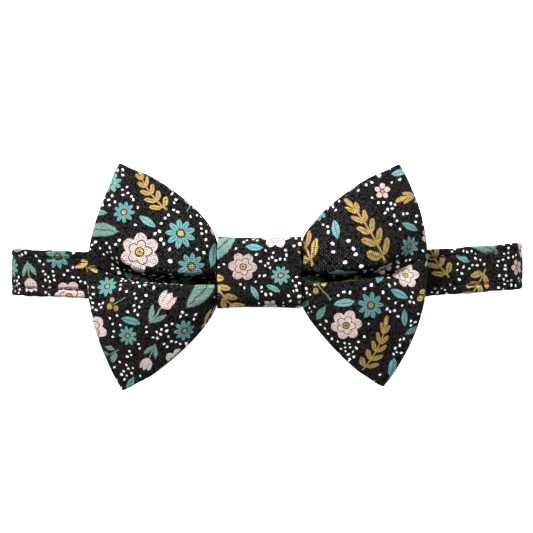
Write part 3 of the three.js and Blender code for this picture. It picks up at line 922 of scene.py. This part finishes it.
def draw_branch(x, y):
    bend = x + y * y * 0.03
    slot = 3.1
    step = (y + 6.4) / slot
    shifted = (step + bend.math("SIGN") * 0.25).fraction() - 0.5
    u, v = turned(abs(bend) - 1.35, shifted * slot - 0.35, -34)
    leaves = almond(u, v, 1.75, 0.72).most(abs(y) - 5.6)
    tip = almond(bend, y - 5.4, 1.6, 0.65)
    stem = bar(bend, y + 0.8, 0.15, 5.6)
    vein = inside(bar(u, v, 0.05, 1.2), 0.05)
    return {"mint": inside(leaves.least(tip)) * (1.0 - vein * 0.75) + inside(stem) * 0.85}


def draw_bloom(x, y):
    outer = petals(x, y, 6, 2.55, 1.75, 1.5)
    middle = petals(x, y, 5, 1.5, 1.15, 1.0, turn=0.7)
    core = length_of(x, y)
    line = inside(abs(middle) - 0.1, 0.06) * inside(outer)
    fold = inside(abs(petals(x, y, 6, 3.0, 1.0, 0.55)) - 0.05, 0.06) * inside(0.3 - middle)
    return {
        "blush": inside(outer.least(middle)) * (1.0 - line) * (1.0 - fold * 0.7) * inside(1.05 - core),
        "gold": inside(core - 0.8) * (1.0 - inside(core - 0.22)),
    }


def draw_daisy(x, y):
    flower = petals(x, y, 9, 2.15, 1.22, 0.62)
    core = length_of(x, y)
    stroke = inside(petals(x, y, 9, 2.0, 0.75, 0.09))
    return {
        "teal": inside(flower) * (1.0 - stroke * 0.7) * inside(1.02 - core),
        "gold": inside(core - 0.72),
    }


def draw_tulip(x, y):
    scallop = abs((x * 0.72).fraction() - 0.5) * 1.5
    cup = ellipse(x, y - 1.9, 1.55, 1.95).most(y - 2.75 - scallop)
    cleft = inside((abs(abs(x) - 0.62) - 0.06).most(0.9 - y), 0.05)
    stem = bar(x, y + 2.1, 0.17, 2.2)
    u, v = turned(abs(x) - 0.95, y + 2.3, -24)
    leaf = almond(u, v, 1.8, 0.55)
    green = inside(stem.least(leaf)) * (1.0 - inside(cup))
    return {"blush": inside(cup) * (1.0 - cleft * 0.85), "mint": green}


def draw_berries(x, y):
    first = length_of(x, y - 2.4) - 0.85
    second = length_of(abs(x) - 1.35, y - 0.75) - 0.78
    stem = bar(x, y + 0.8, 0.12, 2.5)
    u, v = turned(abs(x), y + 1.1, 42)
    twig = bar(u, v - 1.0, 0.1, 1.0)
    first_shine = length_of(x + 0.25, y - 2.65) - 0.2
    shine = inside(first_shine.least(length_of(abs(x) - 1.15, y - 1.0) - 0.18), 0.05)
    return {"gold": inside(first.least(second)) * (1.0 - shine * 0.9), "teal": inside(stem.least(twig)) * 0.9}


def draw_blossom(x, y):
    flower = petals(x, y, 5, 1.08, 0.62, 0.56)
    core = length_of(x, y)
    return {"blush": inside(flower) * inside(0.5 - core), "gold": inside(core - 0.34)}


def draw_leaf(x, y):
    shape = almond(x, y, 2.35, 0.85)
    vein = inside(bar(x, y, 0.07, 1.8), 0.05)
    return {"teal": inside(shape) * (1.0 - vein * 0.8)}


def draw_frond(x, y):
    return {"mint": draw_leaf(x, y)["teal"]}


def draw_seed(x, y):
    return {"white": inside(ellipse(x, y, 0.3, 0.4))}


DRAW = {
    "laurel": draw_laurel,
    "branch": draw_branch,
    "bloom": draw_bloom,
    "daisy": draw_daisy,
    "tulip": draw_tulip,
    "berries": draw_berries,
    "blossom": draw_blossom,
    "leaf": draw_leaf,
    "frond": draw_frond,
    "seed": draw_seed,
}

# Inks and the dyed ground, as linear colours
GROUND = (0.0085, 0.0080, 0.0076)
INKS = {
    "mint": (0.094, 0.158, 0.130),
    "teal": (0.083, 0.187, 0.19),
    "blush": (0.355, 0.282, 0.267),
    "gold": (0.27, 0.182, 0.064),
    "white": (0.62, 0.64, 0.63),
}
THREAD_PITCH = 0.38
ELASTIC_PITCH = 0.5
THREAD_DRIFT = 0.4
PRINT_WOBBLE = 0.4
WORLD_STRENGTH = 0.33

# Where a Mix node keeps its share and its two colours, and the mixed colour that it gives
MIX_INPUTS = (0, 6, 7)
MIX_OUTPUT = 2


class Shader:
    """A new material's Principled shader, with shorthands for what feeds it."""

    def __init__(self, name, **uniform):
        self.material = bpy.data.materials.new(name)
        self.material.use_nodes = True
        self.tree = self.material.node_tree
        self.surface = self.tree.nodes["Principled BSDF"]
        for socket, value in uniform.items():
            self.set(socket.replace("_", " "), value)

    def node(self, kind, **inputs):
        node = self.tree.nodes.new("ShaderNode" + kind)
        for name, value in inputs.items():
            feed(node.inputs[name], value)
        return node

    def split(self, vector):
        """A vector's X and Y."""
        outputs = self.node("SeparateXYZ", Vector=vector).outputs
        return Value(outputs["X"]), Value(outputs["Y"])

    def join(self, x, y, z=0.0):
        return self.node("CombineXYZ", X=x, Y=y, Z=z).outputs[0]

    def scaled(self, vector, amount):
        node = self.node("VectorMath")
        node.operation = "SCALE"
        feed(node.inputs[0], vector)
        feed(node.inputs["Scale"], amount)
        return node.outputs[0]

    def uv(self, name):
        node = self.node("UVMap")
        node.uv_map = name
        return self.split(node.outputs["UV"])

    def place(self):
        """The place on the object, in millimetres."""
        return self.scaled(self.node("TexCoord").outputs["Object"], 1 / MM)

    def noise_outputs(self, place, scale, detail):
        """Soft noise as a number and as a colour."""
        return self.node("TexNoise", Vector=place, Scale=scale, Detail=detail).outputs

    def noise(self, place, scale, detail=2.0):
        return Value(self.noise_outputs(place, scale, detail)[0])

    def random(self, place):
        return Value(self.node("TexWhiteNoise", Vector=place).outputs["Value"])

    def mix(self, share, first, second):
        node = self.node("Mix")
        node.data_type = "RGBA"
        for number, value in zip(MIX_INPUTS, (share, first, second)):
            feed(node.inputs[number], value)
        return node.outputs[MIX_OUTPUT]

    def set(self, name, value):
        feed(self.surface.inputs[name], value)

    def bump(self, height, depth):
        """Relief whose height runs from 0 to 1 over a depth in millimetres."""
        self.set("Normal", self.node("Bump", Strength=1.0, Distance=depth * MM, Height=height).outputs[0])


def plain_weave(shader, u, v, pitch):
    """A plain weave's height, and where two threads cross which one is over and a shade of its own."""
    drift = shader.noise(shader.join(u, v), 0.8 / pitch, 1.0) * THREAD_DRIFT
    a, b = u / pitch + drift, v / pitch - drift
    over = ((a.floor() + b.floor()) * 0.5).fraction() * 2.0
    across = (a.fraction() * math.pi).sin()
    lengthwise = (b.fraction() * math.pi).sin()
    height = across * over + lengthwise * (1.0 - over)
    dip = lengthwise * over + across * (1.0 - over)
    spot = shader.random(shader.join(a.floor(), b.floor(), 5.0))
    return height * (dip * 0.6 + 0.4), over, spot


def printed_cotton():
    shader = Shader("printed_cotton_cloth", Specular_IOR_Level=0.02)
    u, v = shader.uv("cloth")
    flat = shader.join(u, v)
    wobbles = shader.split(shader.noise_outputs(flat, 0.9, 2.0)[1])
    x, y = (way + (wobble - 0.5) * PRINT_WOBBLE for way, wobble in zip(shader.uv("motif"), wobbles))
    kind, tone = shader.uv("motif_kind")
    inks = {}
    for number, motif in enumerate(MOTIFS):
        chosen = kind.math("COMPARE", float(number), 0.5)
        for ink, share in DRAW[motif["name"]](x, y).items():
            layer = chosen * share
            inks[ink] = inks[ink] + layer if ink in inks else layer
    height, over, shade = plain_weave(shader, u, v, THREAD_PITCH)
    brush = shader.noise(flat, 2.2, 3.0)
    worn = shader.noise(flat, 0.35)
    fleck = shader.noise(flat, 1.5, 1.0).ramp(0.36, 0.64)
    # Ink thins where the threads dip and where a thread lies under: partly ink missing the hollows, partly
    # painted shade in them.
    ink_cover_with_painted_shade = (height * 1.9 + over * 0.35 - 0.1 + (brush - 0.5) * 0.5).ramp(0.0, 1.0)
    # The inks' tone varies at random with brush, motif and thread, and is painted lighter on the thread tops as
    # a highlight.
    ink_tone_with_painted_highlight = (brush - 0.5) * 0.5 + (tone - 0.5) * 0.4 + (shade - 0.5) * 0.3 + height * 0.3 + 0.9
    colour = shader.mix(worn, GROUND, tuple(1.3 * c for c in GROUND))
    # Painted shade in the weave: the ground is darkened where the threads dip, and the floats of one thread
    # direction are painted lighter than the other's, as a painted reflection. The random shade and fleck that
    # scale it are the yarn's own tone.
    painted_weave_shade = (height * 1.9 - 0.2).most(0.0) * (over * 0.7 + 0.45)
    colour = shader.scaled(colour, painted_weave_shade * (shade * 1.2 + fleck * 1.4 - 0.3).most(0.05))
    for ink, linear in INKS.items():
        colour = shader.mix((inks[ink] * ink_cover_with_painted_shade).least(1.0), colour, shader.scaled(linear, ink_tone_with_painted_highlight))
    gold = inks["gold"].least(1.0)
    shader.set("Base Color", colour)
    shader.set("Metallic", gold * 0.75)
    shader.set("Roughness", 0.9 - gold * 0.46 + (brush - 0.5) * 0.1)
    shader.bump(height, 0.08)
    return shader.material


def black_thread():
    shader = Shader("black_thread", Specular_IOR_Level=0.1)
    fibre = shader.noise(shader.place(), 6.0, 3.0)
    shader.set("Base Color", shader.mix(fibre, (0.008, 0.008, 0.009), (0.018, 0.018, 0.019)))
    shader.set("Roughness", fibre * 0.2 + 0.7)
    shader.bump(fibre, 0.05)
    return shader.material


def black_elastic():
    shader = Shader("black_elastic_weave", Specular_IOR_Level=0.15)
    u, v = shader.uv("cloth")
    height, _, shade = plain_weave(shader, u, v, ELASTIC_PITCH)
    # Painted shade in the weave: the elastic's colour is darker where its threads dip, with a random shade of
    # its own at each crossing.
    shader.set("Base Color", shader.scaled((0.014, 0.014, 0.015), height + shade * 0.5 + 0.4))
    shader.set("Roughness", height * -0.15 + 0.85)
    shader.bump(height, 0.12)
    return shader.material


def black_plastic():
    shader = Shader("black_plastic_moulded", Specular_IOR_Level=0.2)
    place = shader.place()
    grain = shader.noise(place, 3.5, 4.0)
    scuff = shader.noise(place, 0.25, 3.0)
    shader.set("Base Color", shader.mix(scuff, (0.006, 0.006, 0.0065), (0.012, 0.012, 0.0125)))
    shader.set("Roughness", grain * 0.16 + scuff * 0.12 + 0.5)
    shader.bump(grain, 0.03)
    return shader.material


def floor_material():
    """A light table, which lifts the shadows."""
    shader = Shader("pale_floor", Roughness=0.9, Emission_Strength=0.85)
    cloud = shader.noise(shader.place(), 0.02)
    shader.set("Base Color", shader.mix(cloud, (0.86, 0.86, 0.86), (0.9, 0.9, 0.9)))
    return shader.material


FLOOR_HALF = 3000.0
FLOOR_BELOW = 0.05


def add_floor():
    mesh = bpy.data.meshes.new("floor")
    corners = [(-1, -1), (1, -1), (1, 1), (-1, 1)]
    places = [(x * FLOOR_HALF * MM, y * FLOOR_HALF * MM, -FLOOR_BELOW * MM) for x, y in corners]
    mesh.from_pydata(places, [], [(0, 1, 2, 3)])
    mesh.materials.append(floor_material())
    floor = bpy.data.objects.new("floor", mesh)
    bpy.context.collection.objects.link(floor)


LIGHT_AIM = Vector((0, 0, 20))


def add_light(name, place, size, power):
    data = bpy.data.lights.new(name, "AREA")
    data.shape = "DISK"
    data.size = size * MM
    data.energy = power
    light = bpy.data.objects.new(name, data)
    light.location = Vector(place) * MM
    light.rotation_mode = "QUATERNION"
    light.rotation_quaternion = (LIGHT_AIM - Vector(place)).to_track_quat("-Z", "Y")
    bpy.context.collection.objects.link(light)


# The photograph is square, and looks straight down on the collar
VIEW_WIDTH = 145.6
VIEW_MIDDLE = (-0.14, 2.8)
VIEW_PLANE = 24.0
CAMERA_DISTANCE = 1500.0


def add_camera():
    data = bpy.data.cameras.new("camera")
    data.lens = data.sensor_width * CAMERA_DISTANCE / VIEW_WIDTH
    data.clip_start, data.clip_end = 0.05, 20.0
    camera = bpy.data.objects.new("camera", data)
    camera.location = Vector((*VIEW_MIDDLE, VIEW_PLANE + CAMERA_DISTANCE)) * MM
    bpy.context.collection.objects.link(camera)
    bpy.context.scene.camera = camera


def add_world():
    world = bpy.data.worlds.new("studio")
    world.use_nodes = True
    background = world.node_tree.nodes["Background"]
    background.inputs["Color"].default_value = (1.0, 1.0, 1.0, 1.0)
    background.inputs["Strength"].default_value = WORLD_STRENGTH
    bpy.context.scene.world = world
    bpy.context.scene.view_settings.view_transform = "Standard"


add_camera()
add_world()
add_light("key", (-220, 500, 470), 260, 18.5)
add_light("fill", (380, 60, 480), 420, 2.6)
add_floor()

cotton = printed_cotton()
thread = black_thread()
route = Route()

bow = make_bow(cotton)
knot = make_knot(cotton)
strap = make_strap(cotton, route)
stitches = make_stitches(thread, route)
keeper = make_keeper(black_elastic())

for piece, node, slot in (
    (bow, "bow", "printed_cotton"),
    (knot, "knot", "printed_cotton"),
    (strap, "strap", "printed_cotton"),
    (keeper, "keeper_loop", "black_elastic"),
):
    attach(piece, "root")
    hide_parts(node)
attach(stitches, "root")

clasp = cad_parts["clasp"]
clasp.data.materials.clear()
clasp.data.materials.append(black_plastic())
